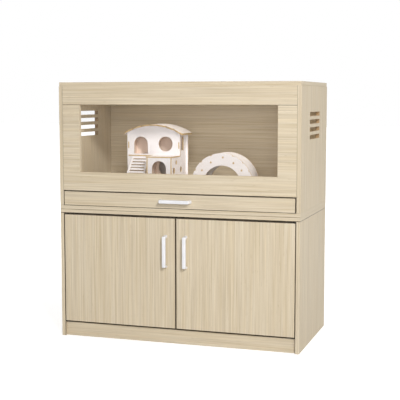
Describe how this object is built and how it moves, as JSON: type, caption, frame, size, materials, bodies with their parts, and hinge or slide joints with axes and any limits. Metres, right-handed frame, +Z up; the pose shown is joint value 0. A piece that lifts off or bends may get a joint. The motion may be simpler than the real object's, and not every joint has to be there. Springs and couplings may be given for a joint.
{
  "type": "hamster cage",
  "caption": "Wooden small-animal cage: glazed upper case with lifting lid, drawer and side vents on a two-door cupboard, furnished with a plywood play house and a tunnel arch.",
  "frame": {"origin": "on the floor under the middle of the whole object, handles and lid hinges included", "axes": "+X to the right seen from the front, +Y from the front to the back, +Z up"},
  "size_m": [1, 0.5386, 1.042],
  "materials": {
    "oak_board": "satin light oak decor, fine straight grain",
    "oak_inside": "matt light oak decor",
    "white_ply": "matt white lacquer on thin plywood with bare tan edges",
    "birch": "raw, sanded",
    "white_gloss": "smooth white",
    "steel": "zinc-plated",
    "zinc": "bright zinc",
    "clear_pane": "clear acrylic"
  },
  "bodies": {
    "cabinet": {"base_side_left": "oak_board", "base_side_right": "oak_board", "base_top": "oak_board", "base_bottom": "oak_board", "plinth": "oak_board", "base_back": "oak_inside", "shelf": "oak_board", "shelf_pins": "zinc", "door_catch": "white_gloss", "pivot_plates": "steel", "case_bottom": "oak_board", "case_side_left": "oak_board", "case_side_right": "oak_board", "case_back": "oak_board", "case_floor": "oak_board", "top_rail": "oak_board", "window_frame": "oak_board", "window_pane": "clear_pane", "pane_screws": "steel", "stack_bolts": "zinc", "cam_locks": "zinc", "cam_bolts": "steel", "wood_dowels": "birch", "case_screws": "steel", "slides_outer": "steel", "case_hinge_leaves": "steel", "hinge_pins": "zinc", "house_front": "white_ply", "house_porch_front": "white_ply", "house_porch_side": "white_ply", "house_side_left": "white_ply", "house_side_right": "white_ply", "house_back": "white_ply", "house_floor": "birch", "house_roof": "white_ply", "house_stairs": "white_ply", "arch_plates": "white_ply", "arch_deck": "white_ply", "arch_rods": "birch"},
    "door_left": {"door_left": "oak_board", "handle_left": "white_gloss", "handle_screws_left": "zinc", "strike_left": "steel"},
    "door_right": {"door_right": "oak_board", "handle_right": "white_gloss", "handle_screws_right": "zinc", "strike_right": "steel"},
    "drawer": {"drawer_front": "oak_board", "drawer_side_left": "oak_inside", "drawer_side_right": "oak_inside", "drawer_back": "oak_inside", "drawer_bottom": "birch", "drawer_dowels": "birch", "handle_drawer": "white_gloss", "handle_screws_drawer": "zinc", "slides_inner": "steel"},
    "slide_middle": {"slides_middle": "zinc"},
    "lid": {"lid": "oak_board", "lid_hinge_leaves": "steel", "lid_screws": "steel"}
  },
  "joints": [
    {"name": "left_door_hinge", "type": "hinge", "parent": "cabinet", "child": "door_left", "pos_m": [-0.46895, -0.23435, 0.2855], "axis": [0, 0, -1], "range_deg": [0, 110]},
    {"name": "right_door_hinge", "type": "hinge", "parent": "cabinet", "child": "door_right", "pos_m": [0.46895, -0.23435, 0.2855], "axis": [0, 0, 1], "range_deg": [0, 110]},
    {"name": "drawer_slide", "type": "slide", "parent": "cabinet", "child": "drawer", "axis": [0, -1, 0], "range_m": [0, 0.38]},
    {"name": "runner_slide", "type": "slide", "parent": "cabinet", "child": "slide_middle", "axis": [0, -1, 0], "range_m": [0, 0.19]},
    {"name": "lid_hinge", "type": "hinge", "parent": "cabinet", "child": "lid", "pos_m": [0, 0.26615, 1.026], "axis": [-1, 0, 0], "range_deg": [0, 95]}
  ],
  "couplings": [
    {"joint": "runner_slide", "follows": "drawer_slide", "ratio": 0.5}
  ]
}
